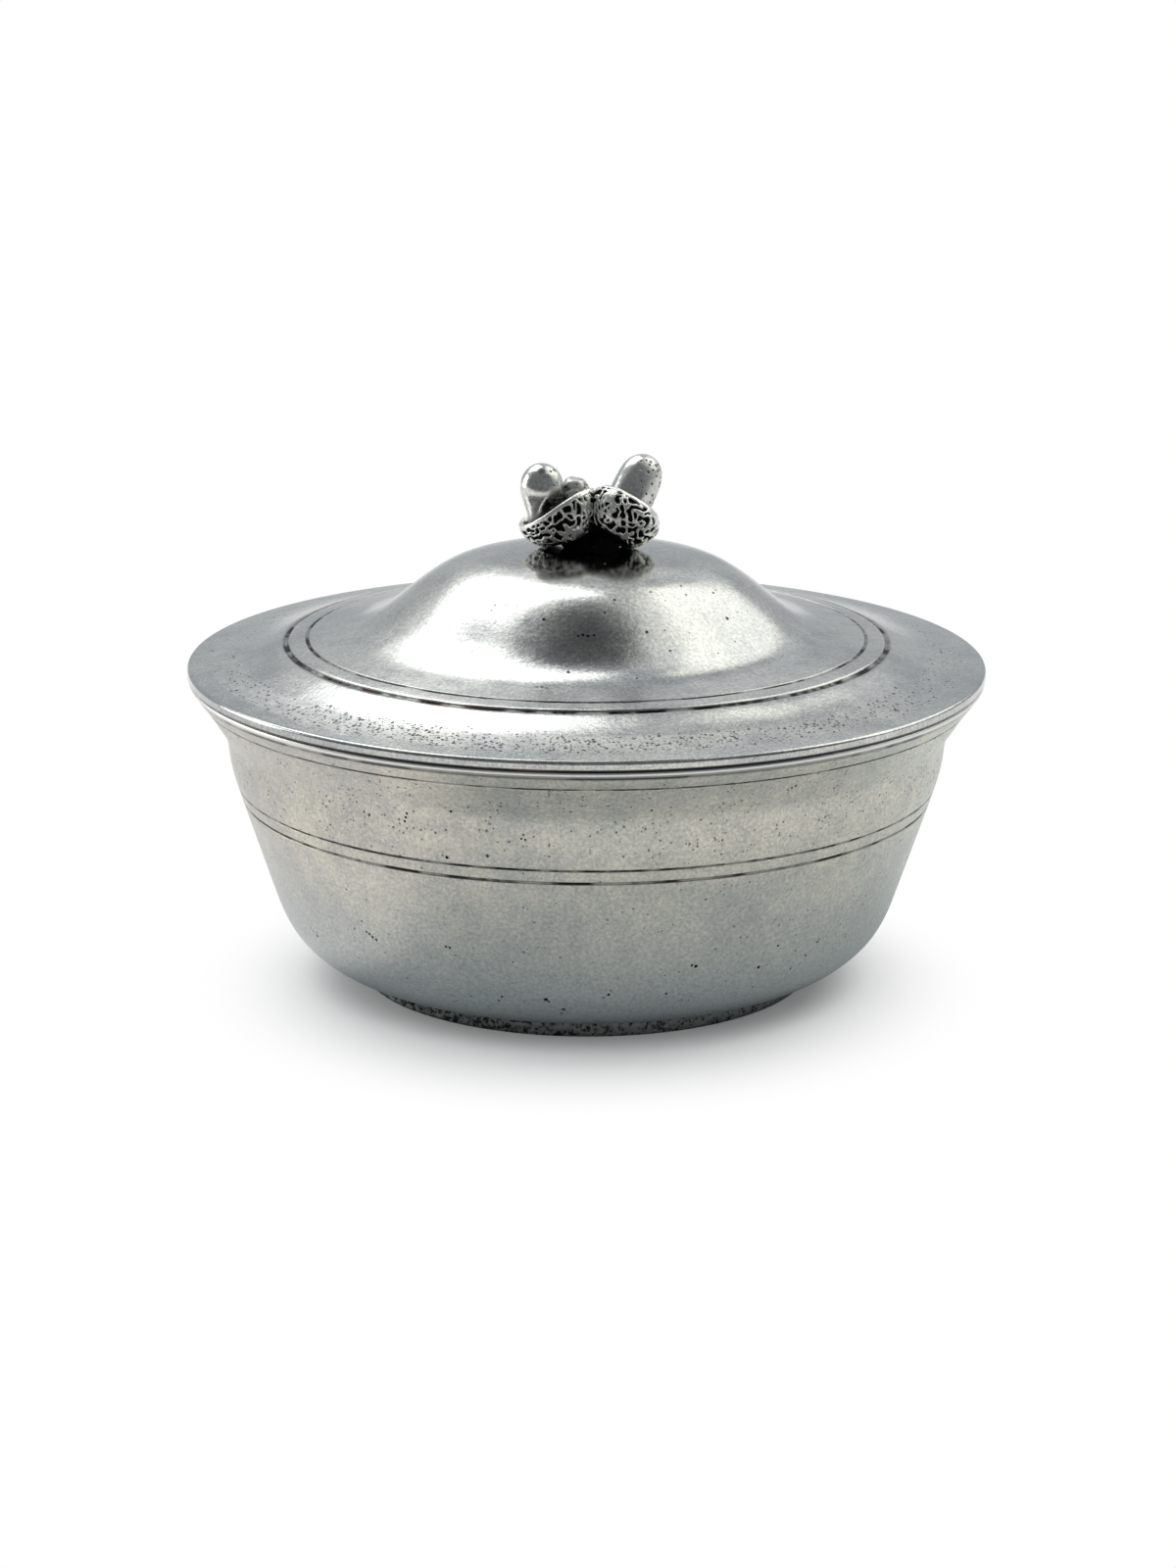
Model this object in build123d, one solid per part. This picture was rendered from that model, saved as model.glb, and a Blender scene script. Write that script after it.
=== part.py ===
from build123d import *
import math
import os

# A covered bowl in cast pewter: a round bowl with a flared lip on a low foot ring,
# and a domed lid whose handle is a pair of acorns on a short twig.
# Millimetres, +Z up. The origin is the centre of the foot ring's resting face,
# the front is towards -Y, and left and right are as seen from there.

# Foot ring
foot_height = 4.6
foot_radius = 51.5
foot_width = 4.0
foot_round = 0.6

# Bowl
bowl_height = 70.3
bowl_lip_radius = 89.7
bowl_base_ledge = 2.5
bowl_wall = 2.2
lip_bead_height = 1.1
lip_bead_proud = 0.45
lip_land_width = 2.5
lip_inside_drop = 3.4
lip_inside_round = 0.8

# Lid
lid_overhang = 0.3
lid_edge_height = 2.4
lid_dome_height = 25.5
lid_wall = 2.2
lid_edge_round = 0.7
lid_land_width = 4.6
crown_flat_radius = 6.5

# Locating ring under the lid's brim
bezel_depth = 10.0
bezel_wall = 1.8
bezel_clearance = 0.6
bezel_round = 0.5
bezel_seat_margin = 0.9

# Incised rings, as heights on the bowl and as radii on the lid
groove_radius = 0.36
body_ring_heights = [43.1, 46.1]
lip_ring_height = 65.7
lid_ring_radii = [63.0, 67.8]

# Twig and its fixing through the crown
twig_radius = 3.2
twig_arm_radius = 3.0
twig_height = 9.0
stud_radius = 2.0
stud_tip_chamfer = 0.4
stud_clearance = 0.2
thread_clearance = 0.05
washer_radius = 5.0
washer_thickness = 0.9
cap_nut_across_flats = 7.0
cap_nut_height = 3.2
cap_nut_dome_height = 3.4
cap_nut_dome_radius = 3.1

# Acorn cups: the girth is the widest place, the rise goes up to the rim and the drop down to the pole
left_cup_radius = 9.4
left_rim_radius = 9.25
left_rim_rise = 1.5
left_cup_drop = 6.9
left_cup_x = -6.3
left_cup_y = 1.4
left_cup_above_crown = 7.8
left_cup_lean = 27.3
left_cup_turn = 164.8
right_cup_radius = 8.5
right_rim_radius = 7.0
right_rim_rise = 2.4
right_cup_drop = 7.6
right_cup_x = 8.55
right_cup_y = 0.7
right_cup_above_crown = 8.25
right_cup_lean = 37.7
right_cup_turn = 36.4
cup_rim_width = 0.9
cup_rim_crown = 0.2
cup_hollow_depth = 3.0
cup_seat_flat = 0.9
cup_gap = 0.3

# Acorn nuts: each stands on the floor of its cup's hollow, off the cup's axis by its shift
left_nut_radius = 4.9
left_nut_neck_radius = 3.9
left_nut_length = 12.6
left_nut_lean = 5.0
left_nut_turn = 190.0
left_nut_shift_x = -3.4
left_nut_shift_y = 0.0
right_nut_radius = 4.8
right_nut_neck_radius = 5.1
right_nut_length = 14.8
right_nut_lean = 34.2
right_nut_turn = 37.7
right_nut_shift_x = -0.5
right_nut_shift_y = 0.28
nut_tail = 6.0

# The small rough bud that is cast into the left cup, behind its nut
bud_radius = 2.4
bud_neck_radius = 2.2
bud_length = 8.9
bud_lean = 8.0
bud_turn = 20.0
bud_shift_x = 3.64
bud_shift_y = 2.38
bud_root = 0.5

# Outlines, each point as a share of the radius gained and a share of the height gained,
# and for the nuts as a share of the radius and a share of the length
bowl_outline_shares = [
    (0.230, 0.045),
    (0.403, 0.1455),
    (0.496, 0.269),
    (0.5985, 0.4395),
    (0.7135, 0.633),
    (0.762, 0.7415),
    (0.7845, 0.819),
    (0.838, 0.870),
    (0.916, 0.935),
]
lid_outline_shares = [
    (0.091, 0.982),
    (0.163, 0.9595),
    (0.2234, 0.9245),
    (0.284, 0.865),
    (0.356, 0.733),
    (0.429, 0.5485),
    (0.489, 0.4015),
    (0.5495, 0.3055),
    (0.622, 0.2545),
    (0.6824, 0.222),
    (0.7331, 0.1949),
    (0.7572, 0.1745),
    (0.7971, 0.1292),
    (0.8394, 0.0853),
    (0.8816, 0.0531),
    (0.9239, 0.0304),
    (0.9601, 0.0157),
]
nut_outline_shares = [
    (1.0, 0.62),
    (0.84, 0.82),
    (0.5, 0.95),
]
brim_slope_share = 0.12
samples_along_wall = 18
halvings = 40

# Worked out from the sizes above
base_radius = foot_radius + bowl_base_ledge
land_outer_radius = bowl_lip_radius - lip_bead_proud
land_inner_radius = land_outer_radius - lip_land_width
lid_radius = bowl_lip_radius + lid_overhang
crown_z = bowl_height + lid_edge_height + lid_dome_height
quarter_round_share = 1 - math.sqrt(0.5)


def in_section(radius, height):
    """A point of the half section, which stands over +X."""
    return Vector(radius, 0, height)


def smooth_line(points, start, end):
    """A spline through the points that leaves and arrives in the given directions."""
    return Spline(points, tangents=[start, end], tangent_scalars=[1, 1])


def turned(*edges):
    """The solid that a closed half section sweeps round the axis."""
    return revolve(make_face(edges), Axis.Z)


def ring(inner, outer, low, high):
    """A plain ring between two radii and two heights."""
    height = high - low
    whole = Pos(0, 0, low) * Cylinder(outer, height, align=(Align.CENTER, Align.CENTER, Align.MIN))
    return whole - Pos(0, 0, low) * Cylinder(inner, height, align=(Align.CENTER, Align.CENTER, Align.MIN))


def share_at(curve, goal, measure):
    """How far along a steadily rising curve its measure reaches the goal."""
    low, high = 0, 1
    for halving in range(halvings):
        middle = (low + high) / 2
        if measure(curve @ middle) < goal:
            low = middle
        else:
            high = middle
    return (low + high) / 2


def radius_of(point):
    return point.X


def height_of(point):
    return point.Z


def beside(curve, distance, last_share):
    """Points at one distance to the left of a curve, from its start to a share of its length."""
    points = []
    for step in range(samples_along_wall + 1):
        share = last_share * step / samples_along_wall
        along = curve % share
        points.append(curve @ share + Vector(-along.Z, 0, along.X) * distance)
    return points


def groove(curve, share):
    """The round-bottomed cutter of one incised ring."""
    place = curve @ share
    return Pos(0, 0, place.Z) * Torus(place.X, groove_radius)


def bowl_outside():
    """The bowl's outer line, from the flat underside up to the bead of the lip."""
    rise = bowl_height - lip_bead_height - foot_height
    gain = land_outer_radius - base_radius
    points = [in_section(base_radius, foot_height)]
    for across, up in bowl_outline_shares:
        points.append(in_section(base_radius + across * gain, foot_height + up * rise))
    points.append(in_section(base_radius + gain, foot_height + rise))
    return smooth_line(points, (1, 0, 0), (gain, 0, rise))


def bowl_inside(outside):
    """The bowl's inner line, one wall inside the outer one, up to the round at the lip's land."""
    top = bowl_height - lip_inside_drop - bowl_wall
    points = beside(outside, bowl_wall, share_at(outside, top, height_of))
    points.append(in_section(land_inner_radius - lip_inside_round, bowl_height - lip_inside_round))
    return smooth_line(points, (1, 0, 0), (0, 0, 1))


def make_bowl(outside, inside):
    land_end = in_section(land_outer_radius, bowl_height)
    bead_side = in_section(bowl_lip_radius, bowl_height - lip_bead_height / 2)
    land_start = in_section(land_inner_radius, bowl_height)
    round_middle = in_section(
        land_inner_radius - math.sqrt(0.5) * lip_inside_round,
        bowl_height - quarter_round_share * lip_inside_round,
    )
    solid = turned(
        Line(in_section(0, foot_height), outside @ 0),
        outside,
        ThreePointArc(outside @ 1, bead_side, land_end),
        Line(land_end, land_start),
        ThreePointArc(land_start, round_middle, inside @ 1),
        inside,
        Line(inside @ 0, in_section(0, foot_height + bowl_wall)),
        Line(in_section(0, foot_height + bowl_wall), in_section(0, foot_height)),
    )
    for height in body_ring_heights + [lip_ring_height]:
        solid -= groove(outside, share_at(outside, height, height_of))
    return solid


def make_foot():
    solid = ring(foot_radius - foot_width, foot_radius, 0, foot_height)
    return fillet(solid.edges().group_by(Axis.Z)[0], foot_round)


def lid_top():
    """The lid's upper line, from the edge of the crown's flat out to the rounded brim edge."""
    edge_top = bowl_height + lid_edge_height
    edge_start = lid_radius - lid_edge_round
    points = [in_section(crown_flat_radius, crown_z)]
    for across, up in lid_outline_shares:
        radius = crown_flat_radius + across * (edge_start - crown_flat_radius)
        points.append(in_section(radius, edge_top + up * lid_dome_height))
    points.append(in_section(edge_start, edge_top))
    return smooth_line(points, (1, 0, 0), (1, 0, -brim_slope_share))


def make_lid(top, bezel_radius, bezel_top):
    edge_top = bowl_height + lid_edge_height
    corner_cut = quarter_round_share * lid_edge_round
    upper_side = in_section(lid_radius, edge_top - lid_edge_round)
    upper_middle = in_section(lid_radius - corner_cut, edge_top - corner_cut)
    lower_side = in_section(lid_radius, bowl_height + lid_edge_round)
    lower_middle = in_section(lid_radius - corner_cut, bowl_height + corner_cut)
    land_end = in_section(lid_radius - lid_edge_round, bowl_height)
    land_start = in_section(lid_radius - lid_land_width, bowl_height)
    seat_end = in_section(bezel_radius + bezel_seat_margin, bezel_top)
    seat_start = in_section(bezel_radius - bezel_wall - bezel_seat_margin, bezel_top)
    reach = share_at(top, radius_of(seat_start) - bezel_seat_margin, radius_of)
    under = smooth_line(beside(top, -lid_wall, reach), (1, 0, 0), top % reach)
    hole_radius = stud_radius + stud_clearance
    hole_top = in_section(hole_radius, crown_z)
    hole_bottom = in_section(hole_radius, crown_z - lid_wall)
    solid = turned(
        Line(hole_top, top @ 0),
        top,
        ThreePointArc(top @ 1, upper_middle, upper_side),
        Line(upper_side, lower_side),
        ThreePointArc(lower_side, lower_middle, land_end),
        Line(land_end, land_start),
        Line(land_start, seat_end),
        Line(seat_end, seat_start),
        Line(seat_start, under @ 1),
        under,
        Line(under @ 0, hole_bottom),
        Line(hole_bottom, hole_top),
    )
    for radius in lid_ring_radii:
        solid -= groove(top, share_at(top, radius, radius_of))
    return solid


def make_bezel(bezel_radius, bezel_top):
    solid = ring(bezel_radius - bezel_wall, bezel_radius, bowl_height - bezel_depth, bezel_top)
    return fillet(solid.edges().group_by(Axis.Z)[0], bezel_round)


def leaning(lean, turn):
    """The direction that leans from +Z by one angle, towards another angle round from +X."""
    side = math.sin(math.radians(lean))
    across = side * math.cos(math.radians(turn))
    return Vector(across, side * math.sin(math.radians(turn)), math.cos(math.radians(lean)))


def half_space(place, direction):
    """A block that fills the side of a plane to which the direction points."""
    block = Box(lid_radius, lid_radius, lid_radius, align=(Align.CENTER, Align.CENTER, Align.MIN))
    return Plane(origin=place, z_dir=direction).location * block


def cup_frame(x, y, above_crown, lean, turn):
    """The frame of an acorn cup: its origin on the axis at the girth, its Z towards the rim."""
    return Plane(origin=(x, y, crown_z + above_crown), z_dir=leaning(lean, turn))


def make_cup(frame, radius, rim_radius, rim_rise, drop):
    """A round cup with a flat seat at its pole and a hollow under a narrow rim."""
    seat = drop - cup_seat_flat
    first = math.asin(seat / drop)
    points = []
    for step in (3, 2, 1, 0):
        angle = first * step / 3
        points.append(in_section(radius * math.cos(angle), -drop * math.sin(angle)))
    points.append(in_section(rim_radius, rim_rise))
    outer = Spline(points)
    inner_rim = in_section(rim_radius - cup_rim_width, rim_rise)
    rim_top = in_section(rim_radius - cup_rim_width / 2, rim_rise + cup_rim_crown)
    floor_edge = in_section(rim_radius - cup_rim_width, rim_rise - cup_hollow_depth)
    floor_middle = in_section(0, rim_rise - cup_hollow_depth)
    solid = turned(
        Line(in_section(0, -seat), outer @ 0),
        outer,
        ThreePointArc(outer @ 1, rim_top, inner_rim),
        Line(inner_rim, floor_edge),
        Line(floor_edge, floor_middle),
        Line(floor_middle, in_section(0, -seat)),
    )
    return frame.location * solid


def make_nut(frame, rim_rise, shift_x, shift_y, lean, turn, radius, neck_radius, length):
    """A blunt nut that stands on the floor of its cup and leans by its own angle."""
    points = [in_section(neck_radius, 0)]
    for across, up in nut_outline_shares:
        points.append(in_section(radius * across, length * up))
    points.append(in_section(0, length))
    outer = smooth_line(points, (0, 0, 1), (-1, 0, 0))
    below = in_section(neck_radius, -nut_tail)
    tail = in_section(0, -nut_tail)
    whole = turned(Line(tail, below), Line(below, outer @ 0), outer, Line(outer @ 1, tail))
    floor = frame.origin + frame.z_dir * (rim_rise - cup_hollow_depth)
    place = floor + Vector(shift_x, shift_y, 0)
    standing = Plane(origin=place, z_dir=leaning(lean, turn)).location * whole
    return standing - half_space(floor, -frame.z_dir)


def make_twig(left_frame, right_frame):
    """The forked knot under the cups, roofed by their two seats, with the stud below it."""
    stud_low = crown_z - lid_wall - washer_thickness - cap_nut_height
    outline = Polyline(
        in_section(0, stud_low),
        in_section(stud_radius - stud_tip_chamfer, stud_low),
        in_section(stud_radius, stud_low + stud_tip_chamfer),
        in_section(stud_radius, crown_z),
        in_section(twig_radius, crown_z),
        in_section(twig_radius, crown_z + twig_height),
        in_section(0, crown_z + twig_height),
        close=True,
    )
    solid = revolve(make_face(outline), Axis.Z)
    arm = Cylinder(twig_arm_radius, twig_height, align=(Align.CENTER, Align.CENTER, Align.MAX))
    below_crown = half_space(in_section(0, crown_z), Vector(0, 0, -1))
    seats = []
    for frame, drop in ((left_frame, left_cup_drop), (right_frame, right_cup_drop)):
        seats.append(Plane(origin=frame.origin - frame.z_dir * (drop - cup_seat_flat), z_dir=frame.z_dir))
    for seat in seats:
        solid += seat.location * arm - below_crown
    for seat in seats:
        solid -= half_space(seat.origin, seat.z_dir)
    return solid


def make_washer():
    top = crown_z - lid_wall
    return ring(stud_radius + stud_clearance, washer_radius, top - washer_thickness, top)


def make_cap_nut():
    """A hexagon with a smooth dome below it, hollow for the stud."""
    top = crown_z - lid_wall - washer_thickness
    hexagon = RegularPolygon(cap_nut_across_flats / 2, 6, major_radius=False)
    body = Pos(0, 0, top - cap_nut_height) * extrude(hexagon, cap_nut_height)
    hexagon_low = top - cap_nut_height
    halfway_share = math.sqrt(0.5)
    rim = in_section(cap_nut_dome_radius, hexagon_low)
    shoulder = in_section(
        cap_nut_dome_radius * halfway_share, hexagon_low - cap_nut_dome_height * halfway_share
    )
    pole = in_section(0, hexagon_low - cap_nut_dome_height)
    middle = in_section(0, hexagon_low)
    dome_line = smooth_line([rim, shoulder, pole], (0, 0, -1), (-1, 0, 0))
    dome = turned(Line(middle, rim), dome_line, Line(pole, middle))
    bore_radius = stud_radius + thread_clearance
    bore = Pos(0, 0, top) * Cylinder(
        bore_radius, cap_nut_height + stud_tip_chamfer, align=(Align.CENTER, Align.CENTER, Align.MAX)
    )
    return body + dome - bore


bowl_outer = bowl_outside()
bowl_inner = bowl_inside(bowl_outer)
lid_upper = lid_top()
bezel_low = bowl_height - bezel_depth
bezel_radius = radius_of(bowl_inner @ share_at(bowl_inner, bezel_low, height_of)) - bezel_clearance
bezel_top = height_of(lid_upper @ share_at(lid_upper, bezel_radius, radius_of)) - lid_wall

left_frame = cup_frame(left_cup_x, left_cup_y, left_cup_above_crown, left_cup_lean, left_cup_turn)
right_frame = cup_frame(right_cup_x, right_cup_y, right_cup_above_crown, right_cup_lean, right_cup_turn)
between = right_frame.origin - left_frame.origin
meeting = left_frame.origin + between * (left_cup_radius / (left_cup_radius + right_cup_radius))
half_gap = between.normalized() * (cup_gap / 2)
left_cup = make_cup(left_frame, left_cup_radius, left_rim_radius, left_rim_rise, left_cup_drop)
right_cup = make_cup(right_frame, right_cup_radius, right_rim_radius, right_rim_rise, right_cup_drop)
bud = make_nut(
    left_frame, left_rim_rise - bud_root, bud_shift_x, bud_shift_y, bud_lean, bud_turn,
    bud_radius, bud_neck_radius, bud_length,
)

nodes = {
    "bowl_body": make_bowl(bowl_outer, bowl_inner),
    "foot_ring": make_foot(),
    "lid_shell": make_lid(lid_upper, bezel_radius, bezel_top),
    "lid_bezel": make_bezel(bezel_radius, bezel_top),
    "finial_twig": make_twig(left_frame, right_frame),
    "finial_washer": make_washer(),
    "finial_cap_nut": make_cap_nut(),
    "acorn_cup_left": left_cup + bud - half_space(meeting - half_gap, between),
    "acorn_cup_right": right_cup - half_space(meeting + half_gap, -between),
    "acorn_nut_left": make_nut(
        left_frame, left_rim_rise, left_nut_shift_x, left_nut_shift_y, left_nut_lean, left_nut_turn,
        left_nut_radius, left_nut_neck_radius, left_nut_length,
    ),
    "acorn_nut_right": make_nut(
        right_frame, right_rim_rise, right_nut_shift_x, right_nut_shift_y, right_nut_lean, right_nut_turn,
        right_nut_radius, right_nut_neck_radius, right_nut_length,
    ),
}

os.makedirs("parts", exist_ok=True)
for name, solid in nodes.items():
    export_step(solid, f"parts/{name}.step")
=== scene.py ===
import math

import bpy
import numpy as np
from mathutils import Matrix, Vector, noise


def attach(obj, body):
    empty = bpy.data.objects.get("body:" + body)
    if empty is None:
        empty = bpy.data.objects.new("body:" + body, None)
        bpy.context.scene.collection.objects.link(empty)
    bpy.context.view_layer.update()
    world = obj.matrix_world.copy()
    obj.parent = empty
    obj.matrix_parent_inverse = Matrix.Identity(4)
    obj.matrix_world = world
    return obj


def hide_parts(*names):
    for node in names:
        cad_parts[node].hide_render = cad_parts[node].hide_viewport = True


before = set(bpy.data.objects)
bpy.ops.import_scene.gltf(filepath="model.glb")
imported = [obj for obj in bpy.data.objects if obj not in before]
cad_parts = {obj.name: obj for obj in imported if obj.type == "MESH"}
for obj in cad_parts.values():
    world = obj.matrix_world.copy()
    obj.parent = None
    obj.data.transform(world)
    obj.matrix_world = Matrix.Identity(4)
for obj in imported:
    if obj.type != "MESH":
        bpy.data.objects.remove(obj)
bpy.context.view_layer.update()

# The looks of the covered bowl, in the CAD's frame. Lengths are in millimetres until a mesh is made, and in
# metres for the floor's material and the lamps.
MM = 0.001

# Camera and picture
PICTURE_WIDTH = 1200
PICTURE_HEIGHT = 1600
FOCAL_PIXELS = 4023.6
SENSOR = 36.0
CAMERA_DISTANCE = 900.0
CAMERA_ELEVATION = math.radians(15.39)
CAMERA_ROLL = math.radians(0.22)
AIM_X = 0.43
AIM_Z = 43.25

# Foot ring
FOOT_HEIGHT = 4.6
FOOT_OUTER = 51.5
FOOT_INNER = 47.5
FOOT_ROUND = 0.6
FOOT_JOIN = (FOOT_HEIGHT - 1.3, FOOT_HEIGHT - 0.5)
FOOT_SKIN = 0.06
FOOT_LUMPS = 0.20
FOOT_JOIN_DEPTH = 0.3

# Bowl
BOWL_HEIGHT = 70.3
BOWL_BASE = 54.0
BOWL_WALL = 2.2
BEAD_HEIGHT = 1.1
BEAD_RADIUS = 89.7
BEAD_PROUD = 0.45
LAND_WIDTH = 2.5
LIP_INSIDE_DROP = 3.4
LIP_INSIDE_ROUND = 0.8
LAND_OUTER = BEAD_RADIUS - BEAD_PROUD
LAND_INNER = LAND_OUTER - LAND_WIDTH
LIP_END = (LAND_INNER - LIP_INSIDE_ROUND, BOWL_HEIGHT - LIP_INSIDE_ROUND)
BODY_RINGS = (43.1, 46.1, 65.7)
BODY_RING_WIDTHS = (0.36, 0.28, 0.30)
BOWL_SHARES = (
    (0.230, 0.045), (0.403, 0.1455), (0.496, 0.269), (0.5985, 0.4395), (0.7135, 0.633),
    (0.762, 0.7415), (0.7845, 0.819), (0.838, 0.870), (0.916, 0.935),
)
BOWL_WAVES = ((0.10, 24.0), (0.035, 7.0))

# Soft steps on the bowl: rises and falls by height, reaches by radius, each from its start to its end
WAVES_RISE, WAVES_FALL = (5.2, 9.0), (63.0, 67.5)
ROOT_FALL = (4.7, 6.6)
SPECKLE_RISE, SPECKLE_FALL = (47.0, 52.0), (65.0, 67.0)
UNDER_BEAD_RISE, UNDER_BEAD_FALL, UNDER_BEAD_REACH = (68.1, 68.7), (69.25, 69.5), (84.0, 85.0)
BEAD_RISE, BEAD_REACH = (68.9, 69.4), (87.5, 88.5)
# The gap's steps bound painted shade on the bead's top, under the lid's brim.
GAP_SHADE_RISE, GAP_SHADE_REACH = (69.3, 69.55), (86.5, 87.5)

# Lid
LID_RADIUS = 90.0
EDGE_HEIGHT = 2.4
EDGE_ROUND = 0.7
EDGE_TOP = BOWL_HEIGHT + EDGE_HEIGHT
EDGE_RADIUS = LID_RADIUS - EDGE_ROUND
DOME_HEIGHT = 25.5
CROWN_Z = EDGE_TOP + DOME_HEIGHT
CROWN_FLAT = 6.5
LID_WALL = 2.2
LID_LAND = 4.6
SEAT_OUTER = 80.87
SEAT_INNER = 77.27
SEAT_Z = 71.762
UNDER_REACH = 76.37
STUD_HOLE = 2.2
BRIM_SLOPE = 0.12
LID_RINGS = (63.0, 67.8)
LID_RING_WIDTHS = (0.42, 0.60)
LID_SHARES = (
    (0.091, 0.982), (0.163, 0.9595), (0.2234, 0.9245), (0.284, 0.865), (0.356, 0.733), (0.429, 0.5485),
    (0.489, 0.4015), (0.5495, 0.3055), (0.622, 0.2545), (0.6824, 0.222), (0.7331, 0.1949), (0.7572, 0.1745),
    (0.7971, 0.1292), (0.8394, 0.0853), (0.8816, 0.0531), (0.9239, 0.0304), (0.9601, 0.0157),
)
LID_WAVES = ((0.11, 26.0), (0.035, 7.5))
NICK_ANGLE = math.radians(262.0)
NICK_HALF_ANGLE = 0.05
NICK_DEPTH = 0.22

# Soft steps on the lid by radius, from start to end, and the height up to which its land is painted black as
# shade in the gap over the bowl
LID_WAVES_RISE, LID_WAVES_FALL = (CROWN_FLAT, 12.0), (84.0, 88.8)
RUBBED_CROWN_FALL = (18.0, 26.0)
DOME_FALL = (40.0, 52.0)
BRIM_RISE, BRIM_FALL = (74.0, 78.5), (85.0, 87.5)
PITTED_RISE, PITTED_FALL = (76.0, 79.0), (84.0, 86.0)
NICK_RISE = (85.0, 88.5)
LAND_SHADE_RISE, LAND_SHADE_HEIGHT_FALL = (87.6, 88.4), (70.75, 71.0)
RUBBED_EDGE = 89.2

# Cups: x, y and height above the crown, lean and turn in degrees. Worn spots have a place and a size, and the
# full spot has a height too.
LEFT_CUP = dict(
    place=(-6.3, 1.4, 7.8), lean=27.3, turn=164.8, girth=9.4, rim=9.25, rise=1.5, drop=6.9,
    top_slope=(-0.15, 1.0), lift=0.7, seed=80,
    worn=[((4.3, -7.6, -3.2), 2.2), ((5.6, -6.3, 2.4), 1.5)], full=((4.6, -4.6, -5.2), 3.8, 1.5),
)
RIGHT_CUP = dict(
    place=(8.55, 0.7, 8.25), lean=37.7, turn=36.4, girth=8.5, rim=7.0, rise=2.4, drop=7.6,
    top_slope=(-0.70, 0.75), lift=0.0, seed=95,
    worn=[((-3.4, -6.0, 4.4), 1.5)], full=((-4.0, -4.6, -5.8), 3.4, 1.2),
)

# Nuts: wide and small are the depths of their unevenness, and root is how far they reach under the floor
# of the cup.
SMOOTH = dict(wide=0.05, small=0.015, root=0.0, swell=0.0)
LEFT_NUT = dict(
    radius=4.9, neck=3.9, length=12.6, lean=5.0, turn=190.0, shift=(-3.9, 0.0), tail=6.0, seed=110, **SMOOTH
)
RIGHT_NUT = dict(
    radius=5.0, neck=5.1, length=14.45, lean=32.2, turn=37.7, shift=(-0.2, 0.28), tail=6.0, seed=115, **SMOOTH
)
BUD = dict(
    radius=2.4, neck=2.2, length=9.2, lean=8.0, turn=20.0, shift=(1.9, 2.38), tail=0.5, seed=105,
    wide=0.5, small=0.32, root=0.5, swell=1.8,
)
NUT_SHARES = ((1.0, 0.62), (0.84, 0.82), (0.5, 0.95))
CUP_RIM = 0.9
CUP_RIM_CROWN = 0.2
CUP_HOLLOW = 3.0
CUP_SEAT = 0.9
CUP_GAP = 0.3
LEFT_CUP_REACH = 0.1
CREST_PROUD = 0.18
RELIEF_DEPTH = 0.5
RELIEF_SPACING = 1.4
RIM_BAND = 0.75
RELIEF_SWELL = 0.28

# Twig
TWIG_RADIUS = 3.2
TWIG_ARM = 3.0
TWIG_HEIGHT = 9.0
TWIG_FLARE = 5.4
TWIG_FLARE_HEIGHT = 2.0
TWIG_FLARE_MIDDLE = (0.9, 0.6)
BARK_DEPTH = 0.45
STUD_RADIUS = 2.0
STUD_CHAMFER = 0.4
WASHER_THICKNESS = 0.9
STUD_BEYOND = 3.2
STUD_LOW = CROWN_Z - LID_WALL - WASHER_THICKNESS - STUD_BEYOND
CROTCH_RADIUS = 3.0
CROTCH_HEIGHT = 3.6
CROTCH_PLACE = (1.2, 1.4, 5.2)

# Single pits and short scratches: the pixel of the photograph and the radius in mm
BOWL_MARKS = (
    (413, 838, 0.3), (414, 834, 0.3), (415, 830, 0.3), (460, 828, 0.35), (456, 875, 0.4), (532, 856, 0.25),
    (536, 857, 0.25), (374, 951, 0.3), (377, 953, 0.35), (380, 956, 0.35), (384, 959, 0.35), (369, 940, 0.25),
    (324, 955, 0.4), (455, 966, 0.3), (459, 967, 0.3), (509, 1021, 0.3), (512, 1017, 0.3), (557, 1020, 0.5),
    (560, 1022, 0.3), (575, 1030, 0.5), (573, 1034, 0.35), (808, 804, 0.3), (812, 802, 0.3), (804, 806, 0.25),
    (710, 986, 0.4), (706, 985, 0.3), (774, 987, 0.4), (621, 1015, 0.35), (680, 1014, 0.3), (794, 965, 0.3),
    (822, 975, 0.3), (834, 961, 0.3), (665, 827, 0.3),
)
LID_MARKS = (
    (555, 632, 0.4), (580, 686, 0.4), (590, 649, 0.3), (595, 648, 0.35), (600, 649, 0.35), (606, 648, 0.3),
    (548, 701, 0.3), (553, 701, 0.35), (558, 702, 0.3), (742, 631, 0.45), (728, 605, 0.35), (700, 607, 0.3),
    (695, 598, 0.3), (627, 612, 0.35), (664, 604, 0.3), (660, 645, 0.4), (617, 625, 0.3), (684, 664, 0.3),
    (914, 702, 0.4), (650, 692, 0.3),
)

# Fineness of the meshes
TURNED_COLUMNS = 640
FOOT_COLUMNS = 720
CUP_COLUMNS = 360
NUT_COLUMNS = 96
TWIG_COLUMNS = 160
CROTCH_COLUMNS = 72
CROTCH_ROWS = 25

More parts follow.
